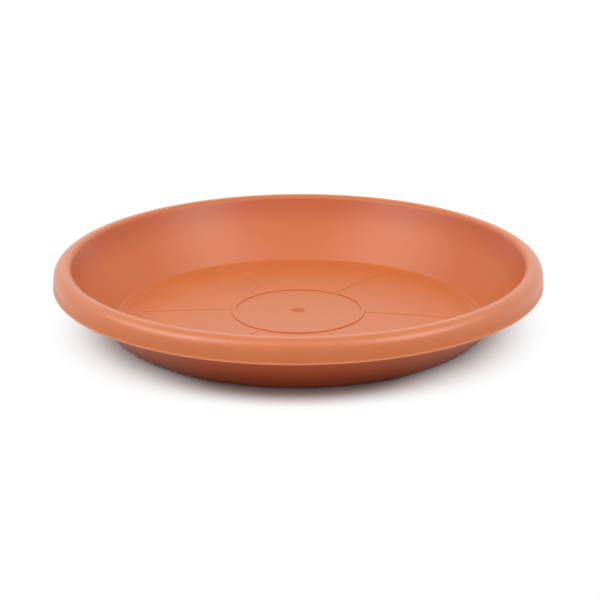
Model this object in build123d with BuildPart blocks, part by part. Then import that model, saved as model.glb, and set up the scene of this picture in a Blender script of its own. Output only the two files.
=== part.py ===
from build123d import *
import os
from math import asin, atan2, degrees, radians, sqrt, tan

# Plant saucer, one moulding of even wall thickness, standing upright on its foot ring
# +Z is up, the saucer's axis is the Z axis, and the foot ring stands on Z = 0

# Overall sizes
outside_diameter = 300.0
height = 41.5
wall_thickness = 2.2

# Floor: a low dome that falls to a small step, with a narrow gutter between the step and the wall
floor_diameter = 217.4
floor_rise = 3.9
floor_step_height = 0.35
floor_step_width = 0.35
gutter_width = 4.3
corner_radius = 6.5
corner_limit_share = 0.95

# Wall: leans outwards, and bows a little where its steeper upper half meets its lower half
wall_lean_angle = 28.0
wall_bend_share = 0.5
wall_bow_share = 0.79

# Rim: the wall rolls over a narrow crown into a skirt that hangs free outside it
crown_width = 0.3
rim_inner_radius = 6.0
rim_outer_radius = 6.5
skirt_depth = 13.5
skirt_draft_angle = 4.0
skirt_edge_radius = 0.5

# Foot ring under the edge of the floor
foot_width = 4.6
foot_edge_radius = 0.25

# Beads on the floor: one ring, and spokes that run out from it over the dome
ring_diameter = 80.0
ring_bead_radius = 1.2
ring_bead_height = 0.85
spoke_count = 6
spoke_start_angle = -3.8
spoke_end_diameter = 196.0
spoke_bead_radius = 0.9
spoke_bead_height = 0.6

# Gate in the middle: a low lens on top, the matching hollow underneath, and the sprue's stub in it
lens_diameter = 9.4
lens_height = 0.85
sprue_diameter = 2.4
sprue_length = 0.6
sprue_tip_radius = 0.3


def cap_radius(half_chord, rise):
    """Radius of the arc that stands `rise` high over a chord of twice `half_chord`."""
    return (half_chord**2 + rise**2) / (2 * rise)


def polar_angle(start, end):
    """Angle in degrees of the line from `start` to `end`, counted from the horizontal."""
    return degrees(atan2(end[1] - start[1], end[0] - start[0]))


def distance(start, end):
    """Length of the line from `start` to `end`."""
    return sqrt((end[0] - start[0]) ** 2 + (end[1] - start[1]) ** 2)


def corner_run(radius, turn):
    """Length that a rounded corner of `radius` takes from each of its two lines, for a turn in degrees."""
    return radius * tan(radians(abs(turn)) / 2)


# Radii and levels worked out from the sizes above
outside_radius = outside_diameter / 2
floor_radius = floor_diameter / 2
ring_radius = ring_diameter / 2
lens_radius = lens_diameter / 2
gutter_z = wall_thickness
floor_edge_z = gutter_z + floor_step_height
dome_radius = cap_radius(floor_radius, floor_rise)
dome_centre_z = floor_edge_z + floor_rise - dome_radius


def dome_z(radius, above=0):
    """Height, at `radius` from the axis, of the floor's upper face or of the arc `above` it."""
    return dome_centre_z + sqrt((dome_radius + above) ** 2 - radius**2)


# Corners of the section's upper face before they are rounded, from the floor's edge out to the skirt
floor_edge = (floor_radius, floor_edge_z)
step_foot = (floor_radius + floor_step_width, gutter_z)
wall_foot = (step_foot[0] + gutter_width, gutter_z)
skirt_end = (outside_radius, height - skirt_depth)
rim_outer_corner = (outside_radius - skirt_depth * tan(radians(skirt_draft_angle)), height)
rim_width = (
    corner_run(rim_outer_radius, 90 - skirt_draft_angle)
    + crown_width
    + corner_run(rim_inner_radius, 90 - wall_lean_angle)
)
rim_inner_corner = (rim_outer_corner[0] - rim_width, height)
wall_bend_z = gutter_z + wall_bend_share * (height - gutter_z)
wall_bend = (rim_inner_corner[0] - (height - wall_bend_z) * tan(radians(wall_lean_angle)), wall_bend_z)

# Radii of the corner at the wall's foot and of the bow, each no larger than its lines leave room for
lower_wall_angle = polar_angle(wall_foot, wall_bend)
foot_corner_radius = min(corner_radius, corner_limit_share * gutter_width / corner_run(1, lower_wall_angle))
lower_wall_room = distance(wall_foot, wall_bend) - corner_run(foot_corner_radius, lower_wall_angle)
upper_wall_room = distance(wall_bend, rim_inner_corner) - corner_run(rim_inner_radius, 90 - wall_lean_angle)
bow_run = wall_bow_share * min(lower_wall_room, upper_wall_room)
bow_radius = bow_run / corner_run(1, 90 - wall_lean_angle - lower_wall_angle)

# The foot ring ends where the corner's rounding begins
foot_outer_radius = wall_foot[0] - corner_run(foot_corner_radius, lower_wall_angle)
foot_inner_radius = foot_outer_radius - foot_width

# One spoke: a round wire that follows the dome, with its middle line a little below the dome's face
spoke_line_above = spoke_bead_height - spoke_bead_radius
spoke_end_radius = spoke_end_diameter / 2
with BuildPart() as spoke:
    with BuildLine(Plane.XZ) as spoke_path:
        RadiusArc(
            (ring_radius, dome_z(ring_radius, spoke_line_above)),
            (spoke_end_radius, dome_z(spoke_end_radius, spoke_line_above)),
            dome_radius + spoke_line_above,
        )
    with BuildSketch(Plane(origin=spoke_path.line @ 0, z_dir=spoke_path.line % 0)):
        Circle(spoke_bead_radius)
    sweep()
    with Locations(spoke_path.line @ 1):
        Sphere(spoke_bead_radius)

# The whole section on one side of the axis, without the spokes
lens_underside_z = dome_z(lens_radius) + lens_height - wall_thickness
with BuildSketch(Plane.XZ) as section:
    # Shell: the upper face from the lens to the skirt, thickened downwards
    with BuildLine():
        lens_cap_radius = cap_radius(lens_radius, lens_height)
        lens = JernArc(
            start=(0, dome_z(lens_radius) + lens_height),
            tangent=(1, 0),
            radius=lens_cap_radius,
            arc_size=-degrees(asin(lens_radius / lens_cap_radius)),
        )
        RadiusArc(lens @ 1, floor_edge, dome_radius)
        Line(floor_edge, step_foot)
        FilletPolyline(
            step_foot,
            wall_foot,
            wall_bend,
            rim_inner_corner,
            rim_outer_corner,
            skirt_end,
            radius=[foot_corner_radius, bow_radius, rim_inner_radius, rim_outer_radius],
        )
        offset(amount=wall_thickness, side=Side.RIGHT)
    make_face()
    fillet(section.vertices().sort_by(Axis.X)[-1], radius=skirt_edge_radius)

    # Foot ring: fills the space between the domed floor and the surface that the saucer stands on
    with BuildLine():
        Polyline(
            (foot_inner_radius, 0),
            (foot_outer_radius, 0),
            (foot_outer_radius, gutter_z / 2),
            (foot_inner_radius, dome_z(foot_inner_radius) - wall_thickness / 2),
            close=True,
        )
    make_face()

    # Ring bead, a round wire sunk in the floor but for its height
    with Locations((ring_radius, dome_z(ring_radius, ring_bead_height - ring_bead_radius))):
        Circle(ring_bead_radius)

    # Sprue: the stub that stands down from the hollow under the lens
    with Locations((0, lens_underside_z)):
        Rectangle(sprue_diameter / 2, 2 * sprue_length, align=(Align.MIN, Align.CENTER))
    sprue_tip = (sprue_diameter / 2, lens_underside_z - sprue_length)
    fillet(section.vertices().sort_by_distance(sprue_tip)[0], radius=sprue_tip_radius)
    fillet(section.vertices().sort_by_distance((foot_inner_radius, 0))[0], radius=foot_edge_radius)

with BuildPart() as saucer:
    revolve(section.sketch, axis=Axis.Z)
    with PolarLocations(0, spoke_count, start_angle=spoke_start_angle):
        add(spoke.part)

saucer.part.label = "saucer"
os.makedirs("parts", exist_ok=True)
export_step(saucer.part, "parts/saucer.step")
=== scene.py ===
"""Plant saucer: one moulding in terracotta-coloured plastic, on a white studio floor.

The saucer is a section turned about the Z axis, with a ring bead and radial beads raised on its floor.
Lengths are in metres, +Z is up, and the saucer stands on Z = 0.
"""

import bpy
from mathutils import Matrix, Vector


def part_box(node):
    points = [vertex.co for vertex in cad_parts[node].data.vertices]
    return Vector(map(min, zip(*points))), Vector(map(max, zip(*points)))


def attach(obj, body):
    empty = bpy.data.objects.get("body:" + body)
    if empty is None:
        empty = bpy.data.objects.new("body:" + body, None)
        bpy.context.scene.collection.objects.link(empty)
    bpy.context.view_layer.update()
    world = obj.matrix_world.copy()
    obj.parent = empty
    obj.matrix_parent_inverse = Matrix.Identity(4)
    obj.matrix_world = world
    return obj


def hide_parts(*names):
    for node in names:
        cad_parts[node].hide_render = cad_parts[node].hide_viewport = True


bl_info = {
    "name": "Plant saucer",
    "version": (1, 0, 0),
    "blender": (4, 5, 0),
    "location": "3D View > Sidebar > Plant saucer",
    "description": "Builds a moulded plant saucer and the studio that it stands in",
    "category": "Object",
}

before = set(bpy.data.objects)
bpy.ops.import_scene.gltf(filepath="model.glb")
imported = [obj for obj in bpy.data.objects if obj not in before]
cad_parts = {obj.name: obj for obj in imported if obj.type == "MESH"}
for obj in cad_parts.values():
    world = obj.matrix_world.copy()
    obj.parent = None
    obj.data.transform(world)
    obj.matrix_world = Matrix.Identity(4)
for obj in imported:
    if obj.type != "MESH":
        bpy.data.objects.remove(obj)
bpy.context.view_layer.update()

from math import acos, atan2, ceil, cos, pi, radians, sin, tan

import bpy
import numpy as np
from bpy.props import FloatProperty, FloatVectorProperty, IntProperty, PointerProperty
from mathutils import Matrix, Vector

NODE = "saucer"
PIECE = "saucer_moulding"
UNDER = "under"
MM = 0.001
WHITE = 1, 1, 1
HIGH_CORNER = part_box(NODE)[1]

# How finely the section is divided
CHORD_ERROR = 0.008 * MM
WIDEST_STEP = radians(24)
LINE_SUPPORT = 0.4 * MM
LINE_STEP = 7 * MM
EDGE_MARGIN = 1.5 * MM
FREE_COLUMNS = 19

# Rows in each part of the floor, from the dimple outwards, and of its underside, from the foot ring inwards
DIMPLE_ROWS, INSIDE_ROWS, BETWEEN_ROWS, BEYOND_ROWS = 6, 9, 15, 5
LOWER_ROWS, BULGE_ROWS = 13, 9


def length(name, default, description):
    """A property for a length, with its default in metres."""
    return FloatProperty(
        name=name, description=description, default=default, min=0, precision=5, unit="LENGTH"
    )


def share(name, default, description):
    """A property for a share or a factor, from 0 to 1."""
    return FloatProperty(name=name, description=description, default=default, min=0, max=1, subtype="FACTOR")


def angle(name, default, description):
    """A property for an angle, with its default in degrees."""
    return FloatProperty(name=name, description=description, default=radians(default), unit="ROTATION")


def colour(name, default, description):
    """A property for a linear colour."""
    return FloatVectorProperty(
        name=name, description=description, default=default, min=0, max=1, size=3, subtype="COLOR"
    )


class SaucerSizes(bpy.types.PropertyGroup):
    """Sizes of the shell: floor, border, wall, rim, skirt and foot ring."""

    widest_radius: length("Widest radius", HIGH_CORNER.x, "Radius of the skirt where it is widest")
    height: length("Height", HIGH_CORNER.z, "Height of the rim's crown over the ground")
    wall: length("Wall thickness", 2.2 * MM, "Thickness of the moulding")
    floor_radius: length("Floor radius", 109 * MM, "Radius of the domed floor")
    floor_edge: length("Floor edge height", 3.1 * MM, "Height of the floor's edge over the ground")
    floor_rise: length("Floor rise", 4.0 * MM, "Height of the floor's dome over its edge")
    step: length("Step height", 0.08 * MM, "How far the border lies above the floor's edge")
    step_width: length("Step width", 0.3 * MM, "Width of the step between floor and border")
    step_rounding: length("Step rounding", 0.15 * MM, "Radius of the step's two corners")
    border: length("Border width", 5.1 * MM, "Width of the flat border from the step to the wall")
    border_corner: length("Border corner", 1.7 * MM, "Radius of the corner between border and wall")
    corner: length("Foot corner", 8.7 * MM, "Radius of the outer corner between foot ring and wall")
    lean: angle("Wall lean", 28, "How far the wall's upper half leans out from upright")
    bend_share: share("Bend height", 0.5, "Height of the wall's bend, as a share of the wall's height")
    bow_share: share("Bow", 0.79, "Share of the shorter half of the wall that the bow takes up")
    crown: length("Crown width", 0.2 * MM, "Width of the flat on the rim's crown")
    rim_inner: length("Inner rim radius", 4.0 * MM, "Radius of the rim's inner shoulder")
    rim_outer: length("Outer rim radius", 7.2 * MM, "Radius of the rim's outer shoulder")
    skirt: length("Skirt depth", 13.6 * MM, "How far the skirt hangs below the crown")
    draft: angle("Skirt draft", 4, "How far the skirt leans out from upright")
    edge_outer: length("Skirt edge", 0.5 * MM, "Rounding of the skirt's outer lower edge")
    edge_inner: length("Skirt inner edge", 0.2 * MM, "Rounding of the skirt's inner lower edge")
    foot: length("Foot width", 4.6 * MM, "Width of the foot ring")
    foot_edge: length("Foot edge", 0.25 * MM, "Rounding of the foot ring's inner edge")


class ReliefSizes(bpy.types.PropertyGroup):
    """Sizes of what stands on the floor, and of the gate in its middle."""

    ring_radius: length("Ring radius", 40.2 * MM, "Radius of the ring bead")
    ring_width: length("Ring width", 2.1 * MM, "Width of the ring bead")
    ring_height: length("Ring height", 0.7 * MM, "Height of the ring bead over the floor")
    spokes: IntProperty(name="Spokes", description="Number of radial beads", default=6, min=1)
    spoke_turn: angle("Spoke turn", -4.3, "Angle of the first radial bead from the X axis")
    spoke_end: length("Spoke end", 98 * MM, "Radius at which the radial beads end")
    spoke_width: length("Spoke width", 1.4 * MM, "Width of a radial bead")
    spoke_height: length("Spoke height", 0.3 * MM, "Height of a radial bead over the floor")
    edge: length("Bead edge", 0.18 * MM, "Rounding of the beads' upper edges")
    draft: angle("Bead draft", 10, "How far the beads' sides lean from upright")
    foot_blend: length("Bead foot", 0.05 * MM, "Height over which a bead's foot runs out into the floor")
    dimple_radius: length("Dimple radius", 5.0 * MM, "Radius of the shallow dimple over the gate")
    dimple_depth: length("Dimple depth", 0.7 * MM, "Depth of the dimple under the floor")
    stub_radius: length("Stub radius", 1.0 * MM, "Radius of the stub that the gate left in the dimple")
    stub_height: length("Stub height", 0.3 * MM, "Height of the stub over the dimple's middle")


class PlasticFinish(bpy.types.PropertyGroup):
    """Colour and surface of the plastic."""

    base: colour("Plastic", (0.610, 0.153, 0.034), "Colour of the plastic")
    pale: colour("Flow mark", (0.65, 0.171, 0.044), "Colour of the paler clouds and flow marks")
    # Painted shade: a darker, redder colour for the outer wall, foot ring and underside, where the saucer is
    # in shade
    underside_shade: colour("Outer wall", (0.64, 0.113, 0.029), "Deeper colour of the outer wall and the underside")
    # Painted shade: a deeper colour high on the inner wall and a little on the skirt, where they lie in shade
    upper: colour("Upper wall", (0.54, 0.110, 0.027), "Deeper colour of the wall's upper part and the skirt")
    # Painted shade: a darker colour over the dimple in the floor's middle
    gate: colour("Gate", (0.46, 0.098, 0.015), "Darker colour of the gate's mark")
    # Painted highlight: a paler colour for a thin band along the skirt's lower edge
    edge: colour("Highlit edge", (0.76, 0.29, 0.13), "Paler colour of the skirt's worn lower edge")
    skirt_shade_share: share("Skirt tone", 0.2, "How much of the upper wall's colour the skirt has")
    dimple_shade_share: share("Gate strength", 0.7, "How strongly the gate's mark shows")
    painted_highlight_share: share("Highlight", 0.7, "How strongly the worn edge shows")
    painted_highlight_width: length("Highlit width", 1.1 * MM, "How far the highlight reaches from the middle of the worn edge")
    cloud: length("Clouds", 34 * MM, "Size of the paler clouds")
    streak: length("Flow marks", 6 * MM, "Size of the flow marks")
    streak_shift: length("Flow mark shift", 20 * MM, "How far the flow marks are moved out from the gate")
    speck: length("Specks", 2.2 * MM, "Size of the small paler specks")
    scuff: length("Scuffs", 3 * MM, "Size of the rubbed places on the crown")
    roughness: share("Roughness", 0.38, "Roughness of the moulded surface")
    rim_gloss: share("Rim gloss", 0.56, "Extra gloss of the rolled rim, which hands have polished")
    rim_roughness: share("Rim gloss roughness", 0.32, "Roughness of the rim's extra gloss")
    grain: length("Grain", 0.45 * MM, "Size of the fine grain")
    grain_depth: length("Grain depth", 0.006 * MM, "Depth of the fine grain")
    ripple: length("Ripple", 9 * MM, "Size of the slow unevenness of the surface")
    ripple_depth: length("Ripple depth", 0.03 * MM, "Depth of the slow unevenness")


class StudioSettings(bpy.types.PropertyGroup):
    """Camera, lamps and floor."""

    pitch: angle("Camera pitch", 19.017, "How far the camera looks down")
    roll: angle("Camera roll", 0.246, "How far the camera leans to its right")
    distance: length("Camera distance", 1.1131, "Distance from the camera to the point that it aims at")
    aim_x: length("Aim X", 0.989 * MM, "X of the point that the camera aims at")
    aim_z: length("Aim Z", 13.519 * MM, "Z of the point that the camera aims at")
    lens: FloatProperty(name="Lens", description="Focal length in mm", default=107.84)
    sky: FloatProperty(name="Sky", description="Strength of the light from all round", default=0.37, min=0)
    floor_size: length("Floor", 9.0, "Side of the square floor")
    shadow_start: length("Shadow start", 104 * MM, "Radius from which the floor is whiter by itself")
    shadow_end: length("Shadow end", 158 * MM, "Radius beyond which the floor is pure white by itself")
    front_start: length("Front shadow start", 14 * MM, "How much further out the whitening starts in front")
    front_end: length("Front shadow end", 9 * MM, "How much further in the whitening ends in front")
    # Painted on the seen paper near the saucer: a cool tint that takes off the red light that the saucer
    # throws on it
    shadow_tint: colour("Shadow tint", (0.82, 0.97, 1.0), "Paper near the saucer, which reddens it")
    near_grey: share("Near floor grey", 0.15, "How much light the floor throws back close to the saucer")
    floor_grey: share("Floor grey", 1.0, "How much light the floor throws back further off")
    near_radius: length("Near radius", 118 * MM, "Radius within which the floor is at its darkest")
    far_radius: length("Far radius", 200 * MM, "Radius beyond which the floor is at its brightest")


def smooth_step(value, low, high):
    """0 below low and 1 above high, with 3 t squared minus 2 t cubed between them."""
    t = np.clip((value - low) / (high - low), 0, 1)
    return t * t * (3 - 2 * t)


def smooth_max(a, b, blend):
    """The larger of a and b. Where they differ by less than the blend it is raised, so that one runs out
    softly into the other: by a quarter of the blend, times the square of 1 minus the difference over it."""
    overlap = np.clip(1 - np.abs(a - b) / blend, 0, None)
    return np.maximum(a, b) + blend * overlap**2 / 4


def cap_radius(half_chord, rise):
    """Radius of the arc that stands rise high over a chord of twice half_chord."""
    return (half_chord**2 + rise**2) / (2 * rise)


def cap_height(off, half_chord, rise):
    """Height of a round cap at the distance off from its middle: the circle's height there, less the depth
    of its centre. Beyond the cap it is under the face."""
    radius = cap_radius(half_chord, rise)
    return np.sqrt(np.clip(radius**2 - off**2, 0, None)) - (radius - rise)


def bead_height(off, width, height, relief):
    """Height of a flat-topped bead at the distance off from its middle line: level as far as the edge, then
    a quarter circle, then a straight side that leans by the draft and goes on under the face."""
    past = np.clip(np.abs(off) - (width / 2 - relief.edge), 0, None)
    shoulder = height - relief.edge
    edge = shoulder + np.sqrt(np.clip(relief.edge**2 - past**2, 0, None))
    return np.where(past < relief.edge, edge, shoulder - (past - relief.edge) / tan(relief.draft))


def bead_steps(width, height, relief):
    """Distances from a bead's middle line at which its section needs a point: evenly round the edge, close
    to both ends of its side, and just outside its foot."""
    edge = width / 2 - relief.edge + relief.edge * np.sin(np.linspace(0, pi / 2, 5))
    run = (height - relief.edge) * tan(relief.draft)
    foot = width / 2 + run * np.array([0.15, 0.85, 1.0]) + relief.edge * np.array([0, 0, 0.08])
    outside = foot[-1:] + relief.edge * np.array([0.2, 0.6])
    return np.concatenate([[0, 0.6 * edge[0]], edge, foot, outside])


def corner_run(radius, turn):
    """Length that a rounded corner takes from each of its two lines."""
    return radius * tan(abs(turn) / 2)


def heading(start, end):
    """Angle of the line from start to end, counted from the horizontal."""
    return atan2(end[1] - start[1], end[0] - start[0])


def mitred(corners, inset):
    """The corners moved to the right of their path by inset, each to where its two moved lines cross: by the
    inset times the sum of its two lines' normals, over 1 plus their dot product."""
    points = np.array(corners)
    along = np.diff(points, axis=0)
    along /= np.linalg.norm(along, axis=1)[:, None]
    left = np.column_stack([-along[:, 1], along[:, 0]])
    before, after = np.vstack([left[:1], left]), np.vstack([left, left[-1:]])
    return points - inset * (before + after) / (1 + (before * after).sum(1))[:, None]


def rounded(corners, radii):
    """A path through the corners with an arc at each one but the first and last: the arc's centre lies one
    radius beside both lines, and its points turn evenly round it, close enough for the chord error."""
    corners = [np.array(c, float) for c in corners]
    rows = [corners[0][None]]
    for before, here, after, radius in zip(corners, corners[1:], corners[2:], radii):
        turn_in, turn_out = heading(before, here), heading(here, after)
        turn = (turn_out - turn_in + pi) % (2 * pi) - pi
        side = np.sign(turn)
        way = np.array([cos(turn_in), sin(turn_in)])
        first = here - corner_run(radius, turn) * way
        centre = first + side * radius * np.array([-way[1], way[0]])
        arc_step = min(2 * acos(1 - CHORD_ERROR / radius), WIDEST_STEP)
        count = max(3, ceil(abs(turn) / arc_step) + 1)
        facing = turn_in + np.linspace(0, turn, count) - side * pi / 2
        arc = centre + radius * np.column_stack([np.cos(facing), np.sin(facing)])
        rows += [line(rows[-1][-1], arc[0]), arc]
    rows += [line(rows[-1][-1], corners[-1]), corners[-1][None]]
    return np.vstack(rows)


def line(start, end):
    """Points between start and end: one close to each end, so that the shading between them stays flat, and
    even ones between those. A short line has none."""
    run = np.linalg.norm(end - start)
    if run < 3 * LINE_SUPPORT:
        return np.empty((0, 2))
    inner = np.linspace(LINE_SUPPORT, run - LINE_SUPPORT, max(2, ceil(run / LINE_STEP)))
    return start + (end - start) * (inner / run)[:, None]


class Section:
    """The saucer's section, worked out from its sizes: the domed floor's two faces, and the outline of the
    wall, rim, skirt and foot ring between the floor's edge and its underside."""

    def __init__(self, sizes):
        s = self.sizes = sizes
        self.floor_edge = (s.floor_radius, s.floor_edge)
        self.dome = cap_radius(s.floor_radius, s.floor_rise)
        self.dome_centre = self.floor_edge[1] + s.floor_rise - self.dome

    def dome_z(self, radius, above=0):
        """Height of the dome, or of the arc above it about the same centre, at a radius from the axis."""
        return self.dome_centre + np.sqrt((self.dome + above) ** 2 - radius**2)

    def outline(self, start_radius, end_radius):
        """From the upper face at start_radius out over the rim and back to the underside at end_radius."""
        s = self.sizes

        # Corners of the upper face. The skirt's own is moved out, so that its rounding has the widest radius
        skirt_run = s.edge_outer * (sin(s.draft) + cos(s.draft) - 1)
        skirt_end = (s.widest_radius + skirt_run, s.height - s.skirt)
        rim_outer = (skirt_end[0] - s.skirt * tan(s.draft), s.height)
        rim_width = (
            corner_run(s.rim_outer, pi / 2 - s.draft) + s.crown + corner_run(s.rim_inner, pi / 2 - s.lean)
        )
        rim_inner = (rim_outer[0] - rim_width, s.height)
        border = (s.floor_radius + s.step_width, s.floor_edge + s.step)
        wall_foot = (border[0] + s.border, border[1])
        bend_z = border[1] + s.bend_share * (s.height - border[1])
        bend = (rim_inner[0] - (s.height - bend_z) * tan(s.lean), bend_z)

        # Radius of the bow where the wall bends, as large as its share of the shorter half allows
        lower_turn = heading(wall_foot, bend)
        upper_turn = pi / 2 - s.lean - lower_turn
        lower_room = np.hypot(bend[0] - wall_foot[0], bend[1] - wall_foot[1])
        lower_room -= corner_run(s.border_corner, lower_turn)
        upper_room = np.hypot(rim_inner[0] - bend[0], rim_inner[1] - bend[1])
        upper_room -= corner_run(s.rim_inner, pi / 2 - s.lean)
        bow = s.bow_share * min(lower_room, upper_room) / corner_run(1, upper_turn)

        # Back along the inside, where the wall's line goes on down to the ground, and up the foot ring
        shell = [border, wall_foot, bend, rim_inner, rim_outer, skirt_end]
        under = mitred(shell, s.wall)[:0:-1]
        under[-1] -= under[-1, 1] / sin(lower_turn) * np.array([cos(lower_turn), sin(lower_turn)])
        foot_inner = under[-1, 0] - corner_run(s.corner, lower_turn) - s.foot
        corners = [(start_radius, self.dome_z(start_radius)), self.floor_edge, *shell, *under]
        corners += [(foot_inner, 0), (foot_inner, self.dome_z(foot_inner, -s.wall))]
        corners += [(end_radius, self.dome_z(end_radius, -s.wall))]
        radii = [s.step_rounding] * 2 + [s.border_corner, bow, s.rim_inner, s.rim_outer, s.edge_outer]
        radii += [s.edge_inner, s.rim_outer - s.wall, s.rim_inner - s.wall, bow + s.wall, s.corner]
        radii += [s.foot_edge, s.foot_edge]
        return rounded(corners, radii)


def column_angles(radii, relief):
    """Angle of every column at every radius. Near a radial bead the columns run beside it, so a column at the
    distance d from the bead turns off by the arc sine of d over the radius, and the rest are spread evenly
    between. Towards the middle and over the wall all the columns are spread evenly."""
    sector = pi / relief.spokes
    offsets = bead_steps(relief.spoke_width, relief.spoke_height, relief)
    count = len(offsets) + FREE_COLUMNS
    even = sector * np.arange(count) / count
    beside = np.arcsin(np.clip(offsets / np.maximum(radii, 4 * offsets[-1])[:, None], 0, 1))
    spread = np.arange(1, FREE_COLUMNS + 1) / (FREE_COLUMNS + 1)
    between = beside[:, -1:] + (sector - beside[:, -1:]) * spread
    packed = np.hstack([beside, between])
    reach = smooth_step(radii, 0.5 * relief.ring_radius, 0.85 * relief.ring_radius)
    reach *= 1 - smooth_step(radii, 1.03 * relief.spoke_end, 1.1 * relief.spoke_end)
    half = even + reach[:, None] * (packed - even)
    one = np.hstack([-half[:, :0:-1], half])
    gap = np.full((len(radii), 1), sector)
    one = np.hstack([one, gap])
    turns = relief.spoke_turn + 2 * sector * np.arange(relief.spokes)
    return (turns[None, :, None] + one[:, None, :]).reshape(len(radii), -1)


def relief_height(radii, angles, relief):
    """Height of the floor's relief. The beads: the softly joined largest of the ring bead and the radial
    beads, a radial bead's distance being taken from its middle line between the ring and its rounded end.
    The gate: a hollow round cap, softly joined with the stub that stands on its middle."""
    r = relief
    sector = 2 * pi / r.spokes
    turn = (angles - r.spoke_turn + sector / 2) % sector - sector / 2
    along, aside = radii[:, None] * np.cos(turn), radii[:, None] * np.sin(turn)
    beyond = along - np.clip(along, r.ring_radius, r.spoke_end)
    spokes = bead_height(np.hypot(aside, beyond), r.spoke_width, r.spoke_height, r)
    ring = bead_height(radii - r.ring_radius, r.ring_width, r.ring_height, r)
    beads = smooth_max(spokes, ring[:, None], r.foot_blend)
    dimple = -np.clip(cap_height(radii, r.dimple_radius, r.dimple_depth), 0, None)
    stub = bead_height(radii, 2 * r.stub_radius, r.stub_height, r) - r.dimple_depth
    gate = smooth_max(dimple, stub, r.foot_blend)
    return smooth_max(beads, np.zeros_like(beads), r.foot_blend) + gate[:, None]


def floor_radii(relief, last):
    """Radii of the floor's rows: even ones, closer together in the dimple, and the steps of the sections of
    the stub and the ring bead, and of the radial beads' ends."""
    r = relief
    ring = bead_steps(r.ring_width, r.ring_height, r)
    ring = r.ring_radius + np.concatenate([-ring[:0:-1], ring])
    end = r.spoke_end + bead_steps(r.spoke_width, r.spoke_height, r)
    stub = bead_steps(2 * r.stub_radius, r.stub_height, r)[1:]
    dimple = np.linspace(stub[-1], r.dimple_radius, DIMPLE_ROWS)[1:]
    inside = np.linspace(1.04 * r.dimple_radius, ring[0], INSIDE_ROWS)[:-1]
    between = np.linspace(ring[-1], end[0], BETWEEN_ROWS)[1:-1]
    beyond = np.linspace(end[-1], last, BEYOND_ROWS)[1:-1]
    return np.concatenate([stub, dimple, inside, ring, between, end, beyond])


def underside(section, relief, first):
    """The underside from first to the axis: the lower of the dome's lower face and of the dimple's, which is
    the dimple's arc moved down by the wall's thickness, softly joined."""
    r, wall = relief, section.sizes.wall
    dimple_cap = cap_radius(r.dimple_radius, r.dimple_depth)
    centre = section.dome_z(r.dimple_radius) + dimple_cap - r.dimple_depth
    middle = 1.3 * r.dimple_radius
    last = 0.2 * r.dimple_radius
    lower, bulging = np.linspace(first, middle, LOWER_ROWS), np.linspace(middle, last, BULGE_ROWS)
    radii = np.concatenate([lower, bulging[1:]])
    bulge = centre - np.sqrt((dimple_cap + wall) ** 2 - np.minimum(radii, middle) ** 2)
    faces = -smooth_max(-section.dome_z(radii, -wall), -bulge, 2 * r.foot_blend)
    return np.column_stack([radii, faces])


def turned_mesh(name, points, poles, under):
    """A closed mesh from a grid of points, rows by columns, whose columns run round the axis: four-sided
    faces between neighbouring rows and columns, and a fan of triangles to the pole at each end. The attribute
    is 1 in the rows that are under the rim, and 0 in those above it."""
    rows, columns = points.shape[:2]
    index = np.arange(rows * columns).reshape(rows, columns)
    beside = np.roll(index, -1, axis=1)
    quads = np.stack([index[:-1], index[1:], beside[1:], beside[:-1]], axis=-1).reshape(-1, 4)
    first, last = rows * columns, rows * columns + 1
    top = np.column_stack([np.full(columns, first), index[0], beside[0]])
    bottom = np.column_stack([np.full(columns, last), beside[-1], index[-1]])
    mesh = bpy.data.meshes.new(name)
    corners = np.vstack([points.reshape(-1, 3), poles])
    mesh.from_pydata(corners.tolist(), [], quads.tolist() + top.tolist() + bottom.tolist())
    marks = np.concatenate([np.repeat(under, columns), [under[0], under[-1]]])
    mesh.attributes.new(UNDER, "FLOAT", "POINT").data.foreach_set("value", marks)
    mesh.shade_smooth()
    mesh.validate()
    return mesh


def saucer_mesh(sizes, relief):
    """The whole moulding. A point of the section at the radius r and height z, on the column at the angle a,
    is (r cos a, r sin a, z), and on the floor the relief's height is added to z."""
    section = Section(sizes)
    edge_start = sizes.floor_radius - EDGE_MARGIN
    floor = floor_radii(relief, edge_start)
    rim = section.outline(edge_start, edge_start - 3 * sizes.foot)
    below = underside(section, relief, rim[-1, 0])[1:]
    outline = np.vstack([np.column_stack([floor, section.dome_z(floor)]), rim, below])
    radii = outline[:, 0]
    angles = column_angles(radii, relief)
    heights = np.repeat(outline[:, 1:], angles.shape[1], axis=1)
    rows = len(floor)
    heights[:rows] += relief_height(floor, angles[:rows], relief)
    points = np.stack([radii[:, None] * np.cos(angles), radii[:, None] * np.sin(angles), heights], axis=-1)
    top_pole = (0, 0, section.dome_z(0) + relief_height(np.zeros(1), np.zeros((1, 1)), relief)[0, 0])
    poles = np.array([top_pole, (0, 0, outline[-1, 1])])
    skirt_end = np.argmin(outline[:, 1] + 2 * np.abs(radii - sizes.widest_radius))
    under = (np.arange(len(outline)) > skirt_end).astype(float)
    return turned_mesh(PIECE, points, poles, under)


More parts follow.
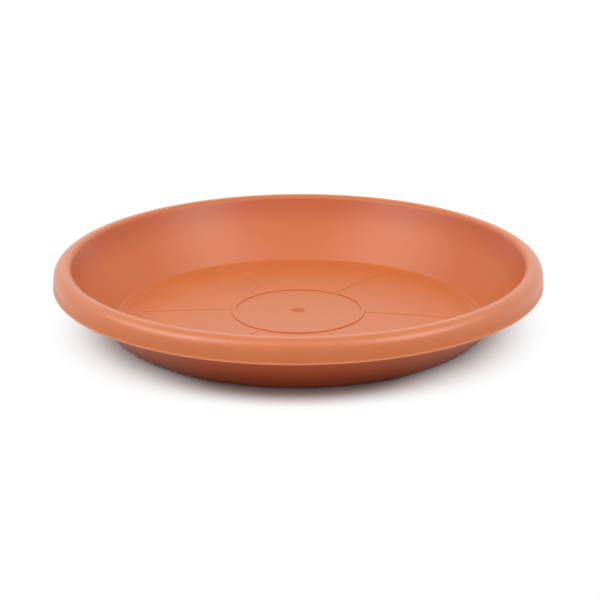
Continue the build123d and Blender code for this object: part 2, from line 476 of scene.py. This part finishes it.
class Value:
    """A number that a shader works out: it wraps a socket, and every operator adds the Math node for it."""

    def __init__(self, graph, socket):
        self.graph, self.socket = graph, socket

    def maths(self, operation, *terms):
        """What a Math node gives for the terms in their order."""
        return self.graph.value("ShaderNodeMath", {"operation": operation}, dict(enumerate(terms)))

    def __add__(self, other):
        return self.maths("ADD", self, other)

    def __sub__(self, other):
        return self.maths("SUBTRACT", self, other)

    def __rsub__(self, other):
        return self.maths("SUBTRACT", other, self)

    def __mul__(self, other):
        return self.maths("MULTIPLY", self, other)

    def __truediv__(self, other):
        return self.maths("DIVIDE", self, other)

    def __rtruediv__(self, other):
        return self.maths("DIVIDE", other, self)

    def __abs__(self):
        return self.maths("ABSOLUTE", self)

    __radd__, __rmul__ = __add__, __mul__

    def largest(self, other):
        """The larger of this and the other."""
        return self.maths("MAXIMUM", self, other)

    def ramp(self, low, high):
        """0 below low and 1 above high, and smooth between them. With low over high it falls instead."""
        sockets = {"Value": self, "From Min": low, "From Max": high}
        return self.graph.value("ShaderNodeMapRange", {"interpolation_type": "SMOOTHSTEP"}, sockets)

    def band(self, centre, half_width):
        """1 at the centre, falling smoothly to 0 at half_width on both sides of it."""
        return abs(self - centre).ramp(half_width, 0)


class Graph:
    """The nodes of one material or world while it is built."""

    def __init__(self, owner):
        owner.use_nodes = True
        self.tree = owner.node_tree
        self.tree.nodes.clear()

    def node(self, kind, settings=None, sockets=None):
        """A new node: first its settings, and then the value or link of each of the named sockets."""
        made = self.tree.nodes.new(kind)
        for name, setting in (settings or {}).items():
            setattr(made, name, setting)
        for name, given in (sockets or {}).items():
            given = given.socket if isinstance(given, Value) else given
            if isinstance(given, bpy.types.NodeSocket):
                self.tree.links.new(given, made.inputs[name])
            else:
                made.inputs[name].default_value = given
        return made

    def value(self, kind, settings=None, sockets=None, output=0):
        """The number that a new node gives."""
        return Value(self, self.node(kind, settings, sockets).outputs[output])

    def noise(self, place, size, detail, rough):
        """Noise from 0 to 1 whose features are about the given size."""
        sockets = {"Vector": place, "Scale": 1 / size, "Detail": detail, "Roughness": rough}
        return self.value("ShaderNodeTexNoise", None, sockets, "Fac")

    def mixed(self, factor, first, second):
        """The second colour over the first one, by the factor. The Mix node has its colours after the sockets
        for numbers and vectors."""
        sockets = {0: factor, 6: first, 7: second}
        return self.node("ShaderNodeMix", {"data_type": "RGBA"}, sockets).outputs[2]

    def bump(self, height, depth, sockets=None):
        """The normal of a relief that is as high as the depth where the height is 1."""
        sockets = {"Height": height, "Distance": depth} | (sockets or {})
        return self.node("ShaderNodeBump", None, sockets).outputs[0]

    def vector(self, operation, *terms):
        """The vector that a Vector Math node gives for the terms in their order."""
        made = self.node("ShaderNodeVectorMath", {"operation": operation}, dict(enumerate(terms)))
        return made.outputs["Vector"]

    def place(self):
        """The place on the object, in metres."""
        return self.node("ShaderNodeTexCoord").outputs["Object"]

    def radius(self, place):
        """Distance of a place from the Z axis."""
        flat = self.vector("MULTIPLY", place, (1, 1, 0))
        return self.value("ShaderNodeVectorMath", {"operation": "LENGTH"}, {0: flat}, "Value")

    def end(self, kind, shader):
        """The output node, with the shader on its surface."""
        self.node(kind, None, {"Surface": shader})


def rgba(colour):
    """A colour with full alpha, as sockets take it."""
    return (*colour, 1)


def plastic_material(finish, sizes, relief):
    """Moulded plastic: clouds of two close colours with paler marks where it flowed out from the gate,
    painted shade over the gate's dimple, high on the wall, a little on the skirt and on the whole outside
    under the rim, a painted highlight along the skirt's lower edge, a fine grain with a slow ripple under it,
    and an uneven gloss that is higher on the polished rim."""
    material = bpy.data.materials.new("Moulded terracotta plastic")
    g = Graph(material)
    f = finish
    place = g.place()
    radius = g.radius(place)
    height = g.value("ShaderNodeSeparateXYZ", None, {0: place}, "Z")
    widest, top = sizes.widest_radius, sizes.height
    skirt_end = top - sizes.skirt

    # Clouds and specks all over, and flow marks that fade from the gate to the floor's edge
    outward = g.vector("NORMALIZE", g.vector("MULTIPLY", place, (1, 1, 0)))
    shift = g.vector("MULTIPLY", outward, (f.streak_shift, f.streak_shift, 0))
    streaks = g.noise(g.vector("ADD", shift, place), f.streak, 3, 0.6)
    clouds = g.noise(place, f.cloud, 3, 0.55)
    specks = g.noise(place, f.speck, 2, 0.6)
    on_floor = radius.ramp(sizes.floor_radius, 0.6 * sizes.floor_radius)
    near_gate = radius.ramp(0.42 * sizes.floor_radius, relief.dimple_radius)
    flow = streaks.ramp(0.42, 0.72) * on_floor * (0.35 + 0.65 * near_gate)
    pale = clouds.ramp(0.3, 0.7) * 0.55 + specks.ramp(0.35, 0.75) * 0.2 + flow * 0.45
    base = g.mixed(pale, rgba(f.base), rgba(f.pale))

    # Painted shade: darker over the dimple, fading out just past its edge
    gate = radius.ramp(1.1 * relief.dimple_radius, 0.6 * relief.dimple_radius)
    base = g.mixed(gate * f.dimple_shade_share, base, rgba(f.gate))

    # Painted shade: the deeper tone grows towards the top of the wall and stops under the crown, and the
    # skirt has a little
    inner = radius.ramp(0.945 * widest, 0.925 * widest)
    inner *= height.ramp(0.5 * top, 0.93 * top) * height.ramp(0.975 * top, 0.94 * top)
    skirt = radius.ramp(0.96 * widest, 0.99 * widest)
    base = g.mixed(inner + skirt * f.skirt_shade_share, base, rgba(f.upper))

    # Painted highlight: a paler band along the skirt's lower edge, where its rounding catches the light
    highlit = height.band(skirt_end + 0.6 * MM, f.painted_highlight_width)
    highlit *= radius.ramp(0.985 * widest, 0.99 * widest)
    base = g.mixed(highlit * f.painted_highlight_share, base, rgba(f.edge))
    # Painted shade over the whole outside under the rim
    under = g.value("ShaderNodeAttribute", {"attribute_name": UNDER}, None, "Fac")
    base = g.mixed(under, base, rgba(f.underside_shade))

    crown = height.ramp(top - 1.2 * MM, top)
    scuffs = g.noise(g.vector("MULTIPLY", place, (1, 1, 2.5)), f.scuff, 4, 0.7).ramp(0.56, 0.72)
    unevenness = (clouds - 0.5) * 0.1 + (specks - 0.5) * 0.08
    roughness = f.roughness + unevenness - crown * scuffs * 0.08 + gate * 0.2

    rim = height.ramp(skirt_end + 0.25 * sizes.skirt, skirt_end + 0.7 * sizes.skirt)
    rim *= radius.ramp(0.93 * widest, 0.96 * widest)
    polish = rim * (0.85 + 0.3 * clouds) * f.rim_gloss

    normal = g.bump(g.noise(place, f.ripple, 2, 0.5), f.ripple_depth)
    normal = g.bump(g.noise(place, f.grain, 2, 0.6), f.grain_depth, {"Normal": normal})
    sockets = {"Base Color": base, "Roughness": roughness, "IOR": 1.49, "Normal": normal}
    sockets |= {"Coat Weight": polish, "Coat Roughness": f.rim_roughness}
    g.end("ShaderNodeOutputMaterial", g.node("ShaderNodeBsdfPrincipled", None, sockets).outputs[0])
    return material


def seen_rays(graph):
    """1 for a ray from the camera, from a mirror or through glass, and 0 for the light that lights things."""
    paths = graph.node("ShaderNodeLightPath").outputs
    camera, glossy, through = (
        Value(graph, paths[f"Is {kind} Ray"]) for kind in ("Camera", "Glossy", "Transmission")
    )
    return camera.largest(glossy).largest(through)


def floor_material(studio):
    """White paper where it is seen, grey where it only throws light back, and darker there close to the
    saucer. Its shadow is kept near the saucer, and further off it is white by itself: in front of the saucer
    this sets in later and faster than at its sides."""
    material = bpy.data.materials.new("White studio floor")
    g = Graph(material)
    s = studio
    place = g.place()
    radius = g.radius(place)
    toward_back = g.value("ShaderNodeSeparateXYZ", None, {0: place}, "Y")
    front = (toward_back / radius).ramp(-0.72, -1)
    far = radius.ramp(s.shadow_start + s.front_start * front, s.shadow_end - s.front_end * front)
    # A cool tint painted on the seen paper near the saucer takes off the red light that the saucer throws on
    # it
    tint = g.mixed(far, rgba(s.shadow_tint), rgba(WHITE))
    paper = g.node("ShaderNodeBsdfDiffuse", None, {"Color": tint}).outputs[0]
    glow = g.node("ShaderNodeEmission", None, {"Color": rgba(WHITE)}).outputs[0]
    further = radius.ramp(s.near_radius, s.far_radius)
    bounce = g.mixed(further, rgba([s.near_grey] * 3), rgba([s.floor_grey] * 3))
    grey = g.node("ShaderNodeBsdfDiffuse", None, {"Color": bounce}).outputs[0]
    shown = g.node("ShaderNodeMixShader", None, {0: far, 1: paper, 2: glow}).outputs[0]
    surface = g.node("ShaderNodeMixShader", None, {0: seen_rays(g), 1: grey, 2: shown}).outputs[0]
    g.end("ShaderNodeOutputMaterial", surface)
    return material


def white_world(studio):
    """A white room: its light is dimmer than the white that is seen."""
    world = bpy.data.worlds.new("White room")
    g = Graph(world)
    light, seen = (
        g.node("ShaderNodeBackground", None, {"Color": rgba(WHITE), "Strength": strength}).outputs[0]
        for strength in (studio.sky, 1)
    )
    surface = g.node("ShaderNodeMixShader", None, {0: seen_rays(g), 1: light, 2: seen}).outputs[0]
    g.end("ShaderNodeOutputWorld", surface)
    return world


def placed(name, data):
    """A new object with the data, in place of an earlier one of that name."""
    if name in bpy.data.objects:
        bpy.data.objects.remove(bpy.data.objects[name])
    made = bpy.data.objects.new(name, data)
    bpy.context.scene.collection.objects.link(made)
    return made


def direction(turn, rise):
    """Direction towards a place that is turned from the front, towards the right, and raised."""
    return Vector((sin(turn) * cos(rise), -cos(turn) * cos(rise), sin(rise)))


def aimed(place, target, roll=0):
    """A frame at the place that looks at the target along -Z, with its top up and leaning to its right by
    the roll."""
    turned = (target - place).to_track_quat("-Z", "Y").to_matrix().to_4x4()
    return Matrix.Translation(place) @ turned @ Matrix.Rotation(-roll, 4, "Z")


class BuildSaucer(bpy.types.Operator):
    """Build the moulded saucer with its finish"""

    bl_idname = "mesh.plant_saucer"
    bl_label = "Saucer"
    bl_options = {"REGISTER", "UNDO"}

    def execute(self, context):
        scene = context.scene
        saucer = placed(PIECE, saucer_mesh(scene.saucer_sizes, scene.saucer_relief))
        saucer.data.materials.append(
            plastic_material(scene.saucer_finish, scene.saucer_sizes, scene.saucer_relief)
        )
        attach(saucer, "root")
        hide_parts(NODE)
        return {"FINISHED"}


# Each softbox: name, turn from the front towards the right and rise, in degrees, then power in watts
SOFTBOXES = [
    ("Right softbox", 62, 40, 7.3),
    ("Upper left softbox", -60, 55, 6.0),
    ("Left softbox", -62, 40, 5.0),
    ("Upper right softbox", 60, 55, 4.9),
    ("Far left softbox", -85, 40, 3.3),
    ("Top softbox", 0, 72, 2.8),
    ("Far right softbox", 88, 40, 2.0),
    ("Rear left softbox", -100, 42, 1.9),
    ("Back softbox", 180, 35, 1.7),
    ("Rear right softbox", 104, 45, 0.4),
    ("Low left softbox", -62, 27, 0.9),
    ("Front right softbox", 20, 55, 0.9),
    ("Front left softbox", -20, 55, 0.8),
]
SOFTBOX_DISTANCE = 2.0
SOFTBOX_SIZES = 0.9, 0.6


class BuildStudio(bpy.types.Operator):
    """Build the white floor, the softboxes, the white room and the camera"""

    bl_idname = "scene.plant_saucer_studio"
    bl_label = "Studio"
    bl_options = {"REGISTER", "UNDO"}

    def execute(self, context):
        studio = context.scene.saucer_studio
        half = studio.floor_size / 2
        corners = [(x * half, y * half, 0) for x, y in ((-1, -1), (1, -1), (1, 1), (-1, 1))]
        paper = bpy.data.meshes.new("studio_floor")
        paper.from_pydata(corners, [], [range(4)])
        paper.materials.append(floor_material(studio))
        placed("studio_floor", paper)
        context.scene.world = white_world(studio)

        for name, turn, rise, watts in SOFTBOXES:
            light = bpy.data.lights.new(name, "AREA")
            light.shape, light.energy = "RECTANGLE", watts
            light.size, light.size_y = SOFTBOX_SIZES
            place = SOFTBOX_DISTANCE * direction(radians(turn), radians(rise))
            placed(name, light).matrix_world = aimed(place, Vector((0, 0, 0)))

        lens = bpy.data.cameras.new("Camera")
        lens.lens = studio.lens
        camera = placed("Camera", lens)
        target = Vector((studio.aim_x, 0, studio.aim_z))
        place = target + studio.distance * direction(0, studio.pitch)
        camera.matrix_world = aimed(place, target, studio.roll)
        context.scene.camera = camera
        context.scene.view_settings.view_transform = "Standard"
        return {"FINISHED"}


class SaucerPanel(bpy.types.Panel):
    """The saucer's settings, and the buttons that build it"""

    bl_idname = "VIEW3D_PT_plant_saucer"
    bl_label = "Plant saucer"
    bl_space_type = "VIEW_3D"
    bl_region_type = "UI"
    bl_category = "Plant saucer"

    def draw(self, context):
        steps = {BuildSaucer: GROUPS[:3], BuildStudio: GROUPS[3:]}
        for operator, groups in steps.items():
            box = self.layout.box()
            for name, kind in groups:
                settings = getattr(context.scene, name)
                for field in kind.__annotations__:
                    box.prop(settings, field)
            box.operator(operator.bl_idname)


GROUPS = [
    ("saucer_sizes", SaucerSizes),
    ("saucer_relief", ReliefSizes),
    ("saucer_finish", PlasticFinish),
    ("saucer_studio", StudioSettings),
]
CLASSES = [*(kind for name, kind in GROUPS), BuildSaucer, BuildStudio, SaucerPanel]


def register():
    """Registers the classes, and gives the scene their settings."""
    for kind in CLASSES:
        bpy.utils.register_class(kind)
    for name, kind in GROUPS:
        setattr(bpy.types.Scene, name, PointerProperty(type=kind))


def unregister():
    """Takes the settings and the classes away again."""
    for name, kind in GROUPS:
        delattr(bpy.types.Scene, name)
    for kind in reversed(CLASSES):
        bpy.utils.unregister_class(kind)


def main():
    """Builds the saucer and its studio."""
    register()
    bpy.ops.mesh.plant_saucer()
    bpy.ops.scene.plant_saucer_studio()


if __name__ == "__main__":
    main()
